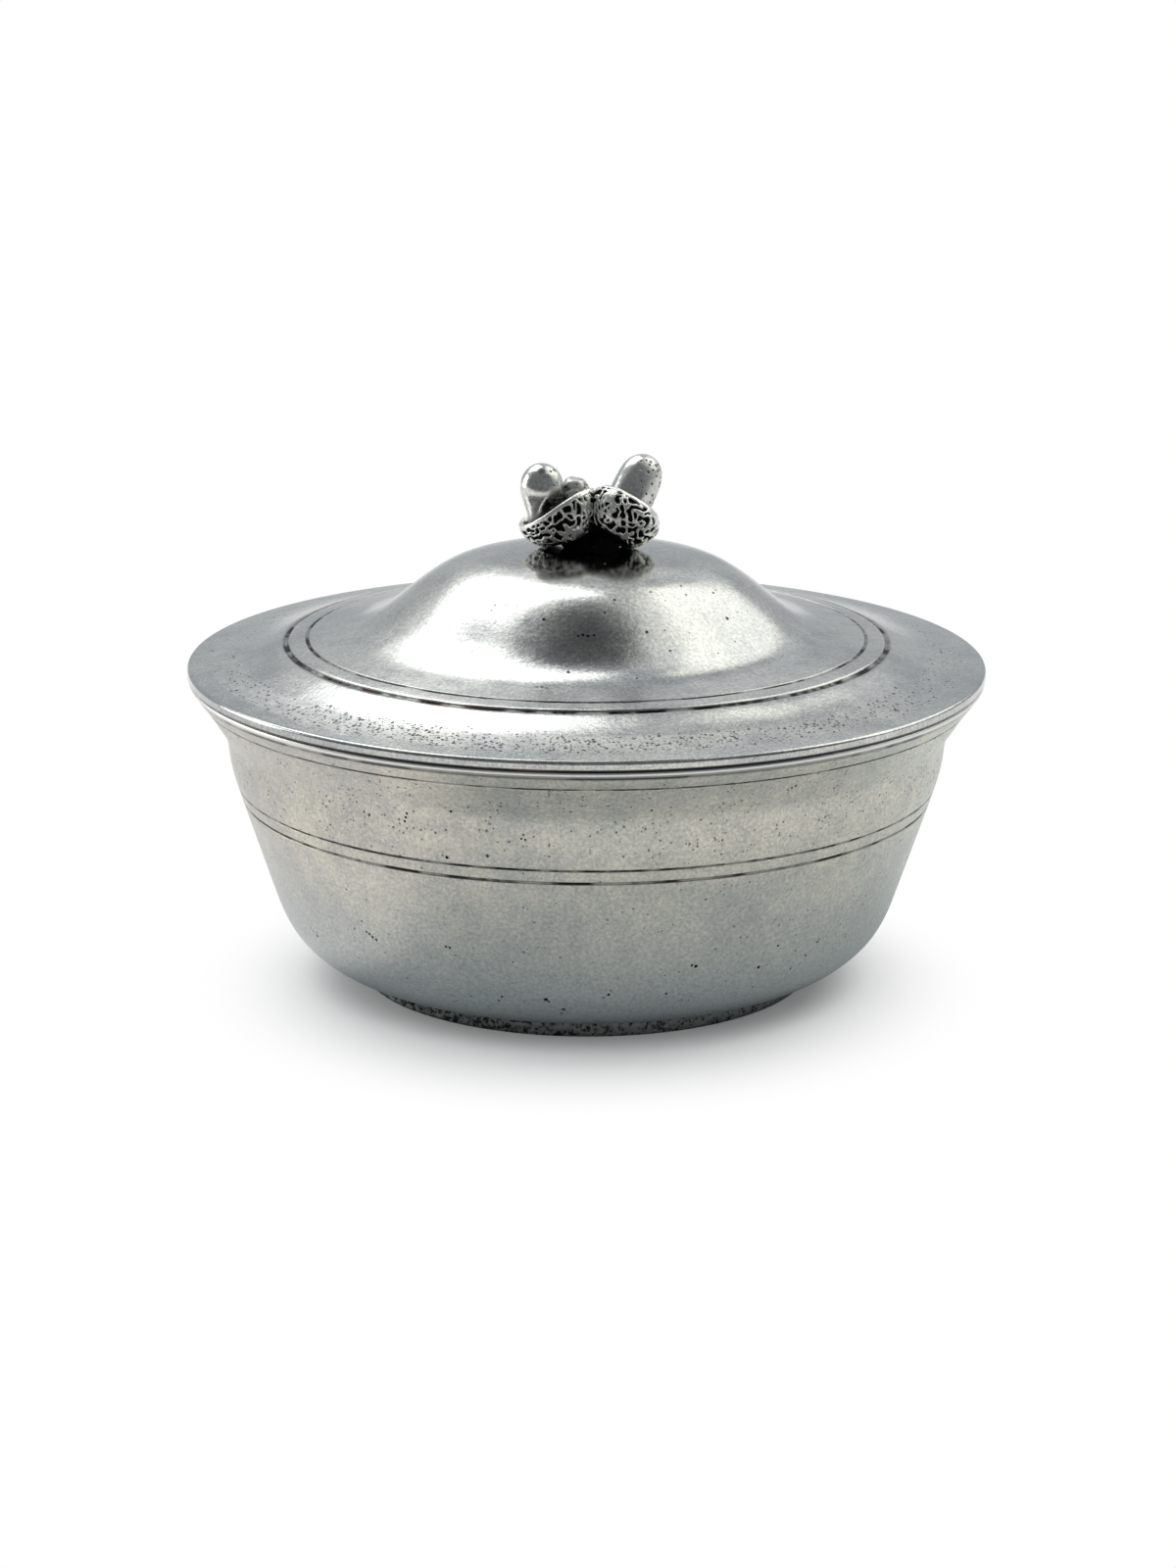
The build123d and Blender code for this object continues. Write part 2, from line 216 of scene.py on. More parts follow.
# Metals
BODY_TINT, BODY_SHADE = (0.62, 0.585, 0.505, 1), (0.42, 0.415, 0.39, 1)
# The body's low colour is painted shade towards the bottom; its rubbed colour is a painted highlight on the
# bead.
BODY_PAINTED_LOW_SHADE, BODY_PAINTED_BEAD_HIGHLIGHT = (0.37, 0.40, 0.405, 1), (0.86, 0.85, 0.82, 1)
LID_TINT, LID_SHADE = (0.60, 0.60, 0.57, 1), (0.43, 0.44, 0.44, 1)
RING_TINT, RING_SHADE = (0.52, 0.52, 0.49, 1), (0.42, 0.43, 0.42, 1)
FIXING_TINT, FIXING_SHADE = (0.58, 0.57, 0.54, 1), (0.48, 0.48, 0.46, 1)
NUT_TINT, NUT_SHADE = (0.74, 0.74, 0.71, 1), (0.60, 0.60, 0.58, 1)
CUP_RAISED, CUP_SUNK = (0.82, 0.82, 0.79, 1), (0.012, 0.012, 0.013, 1)
FOOT_RAISED, FOOT_SUNK = (0.30, 0.305, 0.305, 1), (0.035, 0.035, 0.037, 1)
BLACK_OXIDE, BROWN_OXIDE = (0.014, 0.014, 0.016, 1), (0.09, 0.05, 0.04, 1)

# Floor, in metres: plain white begins round a centre in front of the bowl
FLOOR_RINGS = (20.0, 120.0, 320.0, 900.0, 6000.0)
FLOOR_COLUMNS = 96
FLOOR_DROP = 0.05
FLOOR_DARKER, FLOOR_PALER = (0.74, 0.77, 0.775, 1), (0.77, 0.80, 0.805, 1)
FLOOR_SEEN = (0.97, 0.97, 0.97, 1)
SHADOW_SHIFT = 0.011
SHADOW_SPAN = (0.050, 0.094)
SHADOW_LEAST = 0.12
MIRRORED_SPAN = (0.11, 0.30)
CARD_SPAN = (-0.076, -0.054)
TABLE_SPAN = (-0.60, -0.32)
TABLE_LEAST = 0.12

# World, with its least shares at the ceiling and the front, and lamps, in metres
WHITE = (1, 1, 1, 1)
STUDIO_COLOUR = (0.94, 0.99, 1.03, 1)
STUDIO_LEVEL = 0.56
CEILING_SPAN = (0.92, 1.0)
CEILING_LEAST = 0.24
FRONT_SPAN = (-0.35, 0.25)
FRONT_LEAST = 0.34
LAMP_AIM = Vector((0, 0, 0.06))


def unit(direction):
    direction = np.array(direction, float)
    return direction / np.linalg.norm(direction)


def smooth_line(points, start, end, spacing=0.06):
    """A cubic line through the points with set directions at both ends, as fine steps."""
    knots = np.array(points, float)
    gaps = np.linalg.norm(np.diff(knots, axis=0), axis=1)
    system = np.eye(len(knots))
    wanted = np.zeros_like(knots)
    wanted[0], wanted[-1] = unit(start), unit(end)
    for i in range(1, len(knots) - 1):
        before, after = gaps[i - 1], gaps[i]
        system[i, i - 1:i + 2] = after, 2 * (before + after), before
        rise_before = (knots[i] - knots[i - 1]) / before
        rise_after = (knots[i + 1] - knots[i]) / after
        wanted[i] = 3 * (after * rise_before + before * rise_after)
    slopes = np.linalg.solve(system, wanted)
    parts = []
    for i, gap in enumerate(gaps):
        t = np.linspace(0, 1, max(3, int(gap / spacing)), endpoint=False)[:, None]
        ends = (1 + 2 * t) * (1 - t) ** 2 * knots[i] + t * t * (3 - 2 * t) * knots[i + 1]
        bends = t * (1 - t) ** 2 * slopes[i] - t * t * (1 - t) * slopes[i + 1]
        parts.append(ends + gap * bends)
    return np.vstack(parts + [knots[-1:]])


def travel(line):
    """The distance of each point from the start of the line."""
    return np.append(0, np.cumsum(np.linalg.norm(np.diff(line, axis=0), axis=1)))


def at_distances(line, distances):
    covered = travel(line)
    return np.stack([np.interp(distances, covered, line[:, axis]) for axis in (0, 1)], axis=1)


def rows_of(line, step, rings=(), reach=0.5, ring_steps=11):
    """Points along a line, evenly spaced, and closer together across each incised ring."""
    length = travel(line)[-1]
    distances = np.linspace(0, length, int(round(length / step)) + 1)
    for ring in rings:
        distances = distances[np.abs(distances - ring) > reach]
        distances = np.append(distances, ring + np.linspace(-reach, reach, ring_steps))
    return at_distances(line, np.sort(distances))


def straight(start, end, step, margin=0.12):
    """Points of a straight line, with one close to each end so that the corners stay crisp."""
    line = np.array([start, end], float)
    length = travel(line)[-1]
    inside = np.linspace(margin, length - margin, max(2, int(round(length / step))))
    return at_distances(line, np.concatenate([[0], inside, [length]]))


def arc(start, middle, end, steps):
    """Points of the circle's arc through three points, without its two ends."""
    (ax, ay), (bx, by), (cx, cy) = start, middle, end
    d = 2 * (ax * (by - cy) + bx * (cy - ay) + cx * (ay - by))
    a, b, c = ax * ax + ay * ay, bx * bx + by * by, cx * cx + cy * cy
    x = (a * (by - cy) + b * (cy - ay) + c * (ay - by)) / d
    y = (a * (cx - bx) + b * (ax - cx) + c * (bx - ax)) / d
    angles = np.unwrap([math.atan2(py - y, px - x) for px, py in (start, middle, end)])
    turns = np.linspace(angles[0], angles[2], steps + 2)[1:-1]
    radius = math.hypot(ax - x, ay - y)
    return np.stack([x + radius * np.cos(turns), y + radius * np.sin(turns)], axis=1)


def joined(*parts):
    """One line from parts that may share their end points."""
    line = np.vstack(parts)
    moved = np.append(True, np.linalg.norm(np.diff(line, axis=0), axis=1) > 1e-6)
    return line[moved]


def route(points, steps):
    """Straight lines from point to point, each with a spacing of its own."""
    return joined(*(straight(*ends) for ends in zip(points, points[1:], steps)))


def outward(line, closed):
    """The outward direction at each point of a line that runs round its solid anticlockwise."""
    if closed:
        along = np.roll(line, -1, axis=0) - np.roll(line, 1, axis=0)
    else:
        along = np.gradient(line, axis=0)
    across = np.stack([along[:, 1], -along[:, 0]], axis=1)
    return across / np.linalg.norm(across, axis=1)[:, None]


def swept(line, angles, push=0, closed=False):
    """Points of a section turned round the axis, pushed outwards by so many mm, as rows by columns by 3."""
    normals = outward(line, closed)
    push = np.broadcast_to(push, (len(line), len(angles)))
    radius = line[:, :1] + normals[:, :1] * push
    height = line[:, 1:] + normals[:, 1:] * push
    return np.stack([radius * np.cos(angles), radius * np.sin(angles), height], axis=2)


def lathe_faces(rows, columns, closed):
    """Faces between the rows of a lathe. An open one has a pole beyond its first row and beyond its last."""
    grid = np.arange(rows * columns).reshape(rows, columns)
    low, high = (grid, np.roll(grid, -1, axis=0)) if closed else (grid[:-1], grid[1:])
    quads = np.stack([low, np.roll(low, -1, axis=1), np.roll(high, -1, axis=1), high], axis=2)
    faces = quads.reshape(-1, 4).tolist()
    if not closed:
        first, last = rows * columns, rows * columns + 1
        bottom, top = grid[0], grid[-1]
        faces += np.stack([np.full(columns, first), np.roll(bottom, -1), bottom], axis=1).tolist()
        faces += np.stack([top, np.roll(top, -1), np.full(columns, last)], axis=1).tolist()
    return faces


def angles_of(columns):
    return np.arange(columns) * (2 * math.pi / columns)


def rough(points, size, seed=0):
    """Noise at each point, about -1 to 1, with bumps of one size in mm."""
    places = (points / size + 7.31 * (seed + 1)).reshape(-1, 3)
    values = [noise.noise(place) for place in places.tolist()]
    return np.array(values).reshape(points.shape[:-1])


def fade(values, start, end):
    """0 up to start, 1 from end on, and a soft step between."""
    t = np.clip((values - start) / (end - start), 0, 1)
    return t * t * (3 - 2 * t)


def until(values, start, end):
    """1 up to start, 0 from end on, and a soft step between."""
    return fade(-values, -end, -start)


def within(values, rise, fall):
    """1 between two soft steps."""
    return fade(values, *rise) * until(values, *fall)


def waves(points, heights_and_sizes, seed):
    return sum(height * rough(points, size, seed + n) for n, (height, size) in enumerate(heights_and_sizes))


def flattened(values, closed):
    """Rows and columns as one list. The first and last rows of an open section shrink to its two poles."""
    if closed:
        return values.reshape(-1, *values.shape[2:])
    inside = values[1:-1].reshape(-1, *values.shape[2:])
    return np.concatenate([inside, values[[0, -1]].mean(axis=1)])


def build(name, node, slot, material, points, body="lid", closed=False, **layers):
    """The mesh of one turned piece, put in place of its CAD node. The material can come later."""
    rows, columns = points.shape[:2]
    faces = lathe_faces(rows if closed else rows - 2, columns, closed)
    mesh = bpy.data.meshes.new(name)
    mesh.from_pydata((flattened(points, closed) * MM).tolist(), [], faces)
    mesh.polygons.foreach_set("use_smooth", np.ones(len(mesh.polygons), bool))
    for layer, values in layers.items():
        attribute = mesh.attributes.new(layer, "FLOAT", "POINT")
        attribute.data.foreach_set("value", flattened(values, closed).astype(np.float32))
    if material:
        mesh.materials.append(material)
    piece = add_object(name, mesh)
    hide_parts(node)
    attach(piece, body)
    return piece


def add_object(name, data):
    made = bpy.data.objects.new(name, data)
    bpy.context.scene.collection.objects.link(made)
    return made


def ring_cut(off, reach):
    """How deep a round-bottomed ring is so far off its middle."""
    return np.sqrt(np.clip(reach * reach - off * off, 0, None))


def broken(angles, radius, seed, size=5.0):
    """How open a worn ring is round its circle, 0 to 1."""
    circle = np.stack([radius * np.cos(angles), radius * np.sin(angles), 0 * angles], axis=1)
    return fade(rough(circle, size, seed) + 0.5 * rough(circle, size / 4, seed + 9), -0.4, 0.3)


def place_of(line, axis, value):
    """The distance along a line at which one coordinate passes a value."""
    covered = travel(line)
    passed = np.nonzero(np.diff(np.sign(line[:, axis] - value)))[0][0]
    ends = line[passed:passed + 2, axis]
    return covered[passed] + (value - ends[0]) / (ends[1] - ends[0]) * (covered[passed + 1] - covered[passed])


# Bowl

def bowl_outer_line():
    rise = BOWL_HEIGHT - BEAD_HEIGHT - FOOT_HEIGHT
    gain = LAND_OUTER - BOWL_BASE
    points = [(BOWL_BASE, FOOT_HEIGHT)]
    points += [(BOWL_BASE + across * gain, FOOT_HEIGHT + up * rise) for across, up in BOWL_SHARES]
    points.append((BOWL_BASE + gain, FOOT_HEIGHT + rise))
    return smooth_line(points, (1, 0), (gain, rise))


def bowl_inner_line(outer):
    low = outer[outer[:, 1] < BOWL_HEIGHT - LIP_INSIDE_DROP - BOWL_WALL]
    offset = low - outward(low, False) * BOWL_WALL
    return smooth_line(list(rows_of(offset, 5.0)) + [LIP_END], (1, 0), (0, 1))


def rim_of_bowl():
    """The bead, the land and the inner round of the lip, from outside to inside."""
    low, high = (LAND_OUTER, BOWL_HEIGHT - BEAD_HEIGHT), (LAND_OUTER, BOWL_HEIGHT)
    bead = arc(low, (BEAD_RADIUS, BOWL_HEIGHT - BEAD_HEIGHT / 2), high, 9)
    corner = (1 - math.sqrt(0.5)) * LIP_INSIDE_ROUND
    start = (LAND_INNER, BOWL_HEIGHT)
    middle = (LIP_END[0] + corner, BOWL_HEIGHT - corner)
    return joined(bead, straight(high, start, 0.7), arc(start, middle, LIP_END, 5))


def bowl_line():
    """The section from pole to pole, 1 where it is the outside, and how far each point is from each ring."""
    outer = bowl_outer_line()
    inner = bowl_inner_line(outer)
    places = [place_of(outer, 1, height) for height in BODY_RINGS]
    outside = rows_of(outer, 0.62, places)
    inside = rows_of(inner, 1.4)[::-1]
    underside = straight((0, FOOT_HEIGHT), (BOWL_BASE, FOOT_HEIGHT), 3.0)
    floor = straight(inner[0], (0, FOOT_HEIGHT + BOWL_WALL), 4.0)
    line = joined(underside, outside, rim_of_bowl(), inside, floor)
    outer_side = np.zeros(len(line))
    outer_side[len(underside) - 1:len(underside) + len(outside)] = 1
    start = travel(line)[len(underside) - 1]
    return line, outer_side, [travel(line) - start - place for place in places]


def bowl_oxide(line, angles, outer_side):
    """Oxide above the foot, painted shade on the bead's top in the gap under the lid's brim, and a darker
    line below the bead.
    """
    radius, height = line.T
    root = until(height, *ROOT_FALL) * outer_side
    # Painted shade: the bead's top under the lid's brim is made black.
    gap = fade(height, *GAP_SHADE_RISE) * fade(radius, *GAP_SHADE_REACH)
    under_bead = within(height, UNDER_BEAD_RISE, UNDER_BEAD_FALL) * fade(radius, *UNDER_BEAD_REACH)
    # A darker line under the bead, broken, and only on the front half.
    broken_front_darkening = broken(angles, 88.0, 33, 14.0).clip(0.45) * np.sin(-angles).clip(0) ** 1.5
    oxide = root[:, None] * (0.5 + 0.5 * broken(angles, 54.0, 31, 3.0)) + gap[:, None]
    return oxide + 1.7 * under_bead[:, None] * broken_front_darkening


def make_bowl():
    line, outer_side, from_rings = bowl_line()
    radius, height = line.T
    angles = angles_of(TURNED_COLUMNS)
    push = waves(swept(line, angles), BOWL_WAVES, 1) * within(height, WAVES_RISE, WAVES_FALL)[:, None]
    oxide = bowl_oxide(line, angles, outer_side)
    for number, (off, reach) in enumerate(zip(from_rings, BODY_RING_WIDTHS)):
        depth = ring_cut(off, reach)[:, None]
        worn = broken(angles, 80.0, 20 + number, 7.0)
        push -= depth * (0.5 + 0.5 * worn)
        oxide += np.minimum(depth / reach * 1.5, 1) * (0.4 + 0.55 * worn)
    push[[0, -1]] = 0
    bead = fade(height, *BEAD_RISE) * fade(radius, *BEAD_REACH)
    upper = within(height, SPECKLE_RISE, SPECKLE_FALL) * outer_side
    right = 0.55 + 0.45 * np.cos(angles + 0.6)
    speckle = (0.08 * outer_side + 0.36 * upper)[:, None] * (0.6 + 0.4 * right)
    # The bead's wear lowers its roughness, and on the bowl's material it also lifts the colour to a painted
    # highlight.
    wear = np.broadcast_to(bead[:, None], oxide.shape)
    return build(
        "bowl", "bowl_body", "pewter", None, swept(line, angles, push), "bowl",
        oxide=np.clip(oxide, 0, 1), wear=wear, speckle=speckle,
    )


def make_foot(material):
    """The foot ring, left rough from the mould."""
    corner = (1 - math.sqrt(0.5)) * FOOT_ROUND
    start, end = (FOOT_INNER + FOOT_ROUND, 0), (FOOT_OUTER - FOOT_ROUND, 0)
    sides = [(FOOT_OUTER, FOOT_ROUND), (FOOT_OUTER, FOOT_HEIGHT)]
    sides += [(FOOT_INNER, FOOT_HEIGHT), (FOOT_INNER, FOOT_ROUND)]
    line = joined(
        arc((FOOT_INNER, FOOT_ROUND), (FOOT_INNER + corner, corner), start, 3),
        straight(start, end, 0.5),
        arc(end, (FOOT_OUTER - corner, corner), (FOOT_OUTER, FOOT_ROUND), 3),
        route(sides, (0.32, 1.2, 0.5)),
    )
    angles = angles_of(FOOT_COLUMNS)
    base = swept(line, angles, closed=True)
    lumps = 0.3 * rough(base, 1.5, 41) + 0.45 * rough(base, 0.75, 43)
    hollow = fade(lumps, -0.25, 0.35)
    side = within(line[:, 1], (0.0, FOOT_ROUND), (FOOT_HEIGHT - 0.4, FOOT_HEIGHT + 0.01))
    join = fade(line[:, 1], *FOOT_JOIN)[:, None] * broken(angles, 51.0, 44, 6.0)
    push = -(FOOT_SKIN + FOOT_LUMPS * hollow + FOOT_JOIN_DEPTH * join) * side[:, None]
    rubbed = 0.22 * np.cos(angles + 0.6).clip(0) + 0.10 * np.cos(angles - 3.5).clip(0)
    oxide = np.clip(0.30 - rubbed + 0.32 * hollow + join, 0, 1)
    points = swept(line, angles, push, closed=True)
    wear = 0.4 * (1 - hollow)
    build("foot", "foot_ring", "pewter_dark", material, points, "bowl", closed=True, oxide=oxide, wear=wear)


# Lid

def lid_top_line():
    reach = EDGE_RADIUS - CROWN_FLAT
    points = [(CROWN_FLAT, CROWN_Z)]
    points += [(CROWN_FLAT + across * reach, EDGE_TOP + up * DOME_HEIGHT) for across, up in LID_SHARES]
    points.append((EDGE_RADIUS, EDGE_TOP))
    return smooth_line(points, (1, 0), (1, -BRIM_SLOPE))


def lid_edge():
    """The rounded edge of the brim, from its land up to the upper line."""
    corner = (1 - math.sqrt(0.5)) * EDGE_ROUND
    low_end = (LID_RADIUS, BOWL_HEIGHT + EDGE_ROUND)
    high_start = (LID_RADIUS, EDGE_TOP - EDGE_ROUND)
    return joined(
        arc((EDGE_RADIUS, BOWL_HEIGHT), (LID_RADIUS - corner, BOWL_HEIGHT + corner), low_end, 5),
        straight(low_end, high_start, 0.25, 0.05),
        arc(high_start, (LID_RADIUS - corner, EDGE_TOP - corner), (EDGE_RADIUS, EDGE_TOP), 5),
    )


def lid_line():
    """The section of the lid, and whether each of its points is on the upper side."""
    top = lid_top_line()
    places = [place_of(top, 0, radius) for radius in LID_RINGS]
    upper = rows_of(top, 0.6, places)[::-1]
    dome = top[top[:, 0] < UNDER_REACH]
    under = rows_of(dome + outward(dome, False) * LID_WALL, 1.3)
    seat = [
        under[-1], (SEAT_INNER, SEAT_Z), (SEAT_OUTER, SEAT_Z), (LID_RADIUS - LID_LAND, BOWL_HEIGHT),
        (EDGE_RADIUS, BOWL_HEIGHT),
    ]
    crown = [(CROWN_FLAT, CROWN_Z), (STUD_HOLE, CROWN_Z), (STUD_HOLE, CROWN_Z - LID_WALL)]
    line = joined(under, route(seat, (0.4, 0.6, 0.8, 0.8)), lid_edge(), upper, route(crown, (0.8, 0.4)))[:-1]
    return line, (line[:, 1] > EDGE_TOP + 0.01) & (np.arange(len(line)) > len(under) + 6)


def make_lid():
    line, on_top = lid_line()
    radius, height = line.T
    angles = angles_of(TURNED_COLUMNS)
    free = within(radius, LID_WAVES_RISE, LID_WAVES_FALL) * on_top
    nick = np.exp(-((angles - NICK_ANGLE) / NICK_HALF_ANGLE) ** 2)
    nick = nick * fade(radius, *NICK_RISE)[:, None] * on_top[:, None]
    push = waves(swept(line, angles, closed=True), LID_WAVES, 3) * free[:, None] - NICK_DEPTH * nick
    # Painted shade: the land and the low edge, in the gap over the bowl, are made black.
    oxide = np.zeros_like(push) + (until(height, *LAND_SHADE_HEIGHT_FALL) * fade(radius, *LAND_SHADE_RISE))[:, None]
    for number, (ring, reach) in enumerate(zip(LID_RINGS, LID_RING_WIDTHS)):
        depth = (ring_cut(radius - ring, reach) * on_top)[:, None]
        worn = broken(angles, ring, 50 + number, 6.0)
        push -= depth * (0.6 + 0.4 * worn)
        oxide += np.minimum(depth / reach * 1.7, 1) * (0.55 + 0.45 * worn)
    rim = np.maximum(radius > RUBBED_EDGE, 0.9 * until(radius, *RUBBED_CROWN_FALL) * on_top)
    brim = within(radius, BRIM_RISE, BRIM_FALL) * on_top
    dome = until(radius, *DOME_FALL) * on_top
    front = (0.25 + 0.75 * np.sin(-angles)).clip(0.1)
    band = (within(radius, PITTED_RISE, PITTED_FALL) * on_top)[:, None] * front
    speckle = brim[:, None] * front + 0.03 * dome[:, None]
    wear = np.broadcast_to(rim[:, None], oxide.shape)
    return build(
        "lid", "lid_shell", "pewter", None, swept(line, angles, push, closed=True), closed=True,
        oxide=np.clip(oxide, 0, 1), wear=wear, speckle=np.clip(speckle, 0, 1), pitted=0.85 * band,
    )


# Acorn finial

def leaning(lean, turn):
    side = math.sin(math.radians(lean))
    turn = math.radians(turn)
    return np.array([side * math.cos(turn), side * math.sin(turn), math.cos(math.radians(lean))])


def frame_at(origin, up):
    """A place whose Z is up, as a 3 by 3 turn and an origin."""
    flat = unit(np.cross((0, 1, 0), up))
    return np.stack([flat, np.cross(up, flat), up], axis=1), np.array(origin, float)


def placed(points, frame_place):
    turn, origin = frame_place
    return points @ turn.T + origin


def cup_place(cup):
    x, y, above = cup["place"]
    return frame_at((x, y, CROWN_Z + above), leaning(cup["lean"], cup["turn"]))


def held_below(points, origin, direction):
    """Points beyond a plane are moved back onto it."""
    beyond = np.clip((points - origin) @ direction, 0, None)
    return points - beyond[..., None] * direction


def cup_line(cup):
    seat = cup["drop"] - CUP_SEAT
    first = math.asin(seat / cup["drop"])
    points = [
        (cup["girth"] * math.cos(first * step / 3) ** 0.85, -cup["drop"] * math.sin(first * step / 3))
        for step in (3, 2, 1, 0)
    ]
    points.append((cup["rim"], cup["rise"]))
    start = (cup["girth"] * math.sin(first), cup["drop"] * math.cos(first))
    outer = rows_of(smooth_line(points, start, cup["top_slope"]), 0.16)
    inner_rim = cup["rim"] - CUP_RIM
    crest = arc(
        (cup["rim"], cup["rise"]), (cup["rim"] - CUP_RIM / 2, cup["rise"] + CUP_RIM_CROWN),
        (inner_rim, cup["rise"]), 5,
    )
    floor = cup["rise"] - CUP_HOLLOW
    inside = route([(inner_rim, cup["rise"]), (inner_rim, floor), (0, floor)], (0.35, 0.6))
    return joined(straight((0, -seat), outer[0], 0.5), outer, crest, inside)


def worms(points, seed):
    """Ridges of a worm-like relief, 1 on a ridge and 0 between."""
    bend = 0.3 * np.stack([rough(points, 2.0, seed + n) for n in (1, 2, 3)], axis=-1)
    field = rough(points + bend, RELIEF_SPACING, seed)
    return fade(-np.abs(field), -0.34, -0.16)


def near(points, spot, size):
    """1 at a spot, fading to 0 at about twice the size away from it."""
    return np.exp(-(np.linalg.norm(points - spot, axis=2) / size) ** 2)


def make_cup(side, cup, material, plane_origin, plane_direction):
    """A cup with a worm-like relief on its outside, a rubbed rim and a rough hollow."""
    seed = cup["seed"]
    line = cup_line(cup)
    angles = angles_of(CUP_COLUMNS)
    turn, origin = cup_place(cup)
    base = placed(swept(line, angles), (turn, origin))
    height = line[:, 1]
    crest_row = int(np.argmax(height))
    before = np.arange(len(line)) <= crest_row
    low = CUP_SEAT - cup["drop"]
    top = (cup["rise"] - RIM_BAND, cup["rise"] - RIM_BAND * 0.7)
    outside = within(height, (low, low + 0.5), top) * before
    hollow = until(height, cup["rise"] - 0.6, cup["rise"]) * ~before
    crest = fade(height, cup["rise"] - RIM_BAND, cup["rise"] - RIM_BAND * 0.8)
    ridge = worms(base, seed)
    for spot, size in cup["worn"]:
        ridge = np.clip(ridge + 1.3 * near(base - origin, spot, size), 0, 1)
    lumps = rough(base, 3.2, seed + 5)
    push = (RELIEF_SWELL - RELIEF_DEPTH * (1 - ridge) - 0.12 * (lumps + 1)) * outside[:, None]
    push += CREST_PROUD * (crest * before)[:, None]
    spot, size, depth = cup["full"]
    push += depth * near(base - origin, spot, size) * before[:, None]
    push += 0.16 * rough(base, 1.3, seed + 6) * hollow[:, None]
    points = placed(swept(line, angles, push), (turn, origin))
    wave = crest[:, None] * (0.10 * rough(base, 2.1, seed + 7) - 0.08)
    wave = wave - cup["lift"] * np.sin(2 * angles) * fade(height, -2.5, cup["rise"])[:, None]
    points = held_below(points + wave[..., None] * turn[:, 2], plane_origin, plane_direction)
    points[..., 2] = np.maximum(points[..., 2], CROWN_Z + 0.03)
    relief = ridge * outside[:, None] + crest[:, None] * (0.95 + 0.4 * rough(base, 1.1, seed + 9))
    oxide = np.clip((1 - relief) * (1 - 0.3 * hollow[:, None]), 0, 1)
    wear = np.clip(relief, 0, 1)
    build(f"cup_{side}", f"acorn_cup_{side}", "pewter_oxidised", material, points, oxide=oxide, wear=wear)


def nut_line(nut, step):
    knots = [(nut["neck"], 0)]
    knots += [(nut["radius"] * across, nut["length"] * up) for across, up in NUT_SHARES]
    knots.append((0, nut["length"]))
    tail = route([(0, -nut["tail"]), (nut["neck"], -nut["tail"]), (nut["neck"], 0)], (1.2, 0.5))
    return joined(tail, rows_of(smooth_line(knots, (0, 1), (-1, 0)), step)[:-1], knots[-1:])


def make_nut(name, node, slot, nut, cup, material):
    """A nut that stands on the floor of its cup, or a rough bud that is rooted in it."""
    seed = nut["seed"]
    line = nut_line(nut, 0.26)
    cup_turn, cup_origin = cup_place(cup)
    axis = cup_turn[:, 2]
    floor = cup_origin + axis * (cup["rise"] - CUP_HOLLOW - nut["root"])
    place = frame_at(floor + np.array([*nut["shift"], 0]), leaning(nut["lean"], nut["turn"]))
    angles = angles_of(NUT_COLUMNS)
    base = placed(swept(line, angles), place)
    small = rough(base, 1.3, seed + 1)
    lumps = nut["wide"] * (rough(base, 3.6, seed) - 1) + nut["small"] * (small - 1)
    push = (nut["swell"] + lumps) * until(line[:, 1], nut["length"] - 0.8, nut["length"] + 0.01)[:, None]
    points = placed(swept(line, angles, push), place)
    points = held_below(points, floor, -axis)
    above = (points - floor) @ axis
    oxide = 0.8 * until(above, 2.3, 4.6)
    if nut["root"]:
        pitted = np.full(oxide.shape, 0.9)
        oxide = np.maximum(oxide, 0.7 * fade(-small, 0.3, 0.8))
    else:
        across = (base[..., 0] - base[..., 0].mean()) / nut["radius"]
        pitted = 0.8 * fade(across + 0.35 * rough(base, 2.5, seed + 2), 0.15, 0.6)
    wear = 1 - np.maximum(oxide, pitted)
    build(name, node, slot, material, points, oxide=oxide, wear=wear, pitted=pitted)


def lowered_under(points, origin, axis):
    """Points beyond a leaning plane drop straight down onto it."""
    beyond = np.clip((points - origin) @ axis, 0, None) / axis[2]
    lowered = points.copy()
    lowered[..., 2] -= beyond
    return lowered


def make_twig_part(name, line, place, seats, material, seed, has_stud=False):
    """One rough branch of the twig, kept under the cups' seats and, but for the stud, above the crown."""
    angles = angles_of(TWIG_COLUMNS)
    base = placed(swept(line, angles), place)
    bark = fade(rough(base, 1.5, seed) + 0.5 * rough(base, 0.8, seed + 1), -0.2, 0.5)
    side = (line[:, 0] > STUD_RADIUS + 0.5)[:, None]
    points = placed(swept(line, angles, -(0.05 + BARK_DEPTH * bark) * side), place)
    for origin, axis in seats:
        points = lowered_under(points, origin, axis)
    above = np.maximum(points[..., 2], CROWN_Z)
    points[..., 2] = np.where(side, above, points[..., 2]) if has_stud else above
    # The twig is kept near black all over: oxide, and painted shade for the shadow under and between the
    # cups.
    oxide, wear = 0.6 + 0.4 * bark, 0.5 - 0.5 * bark
    build(name, "finial_twig", "pewter_oxidised", material, points, oxide=oxide, wear=wear)


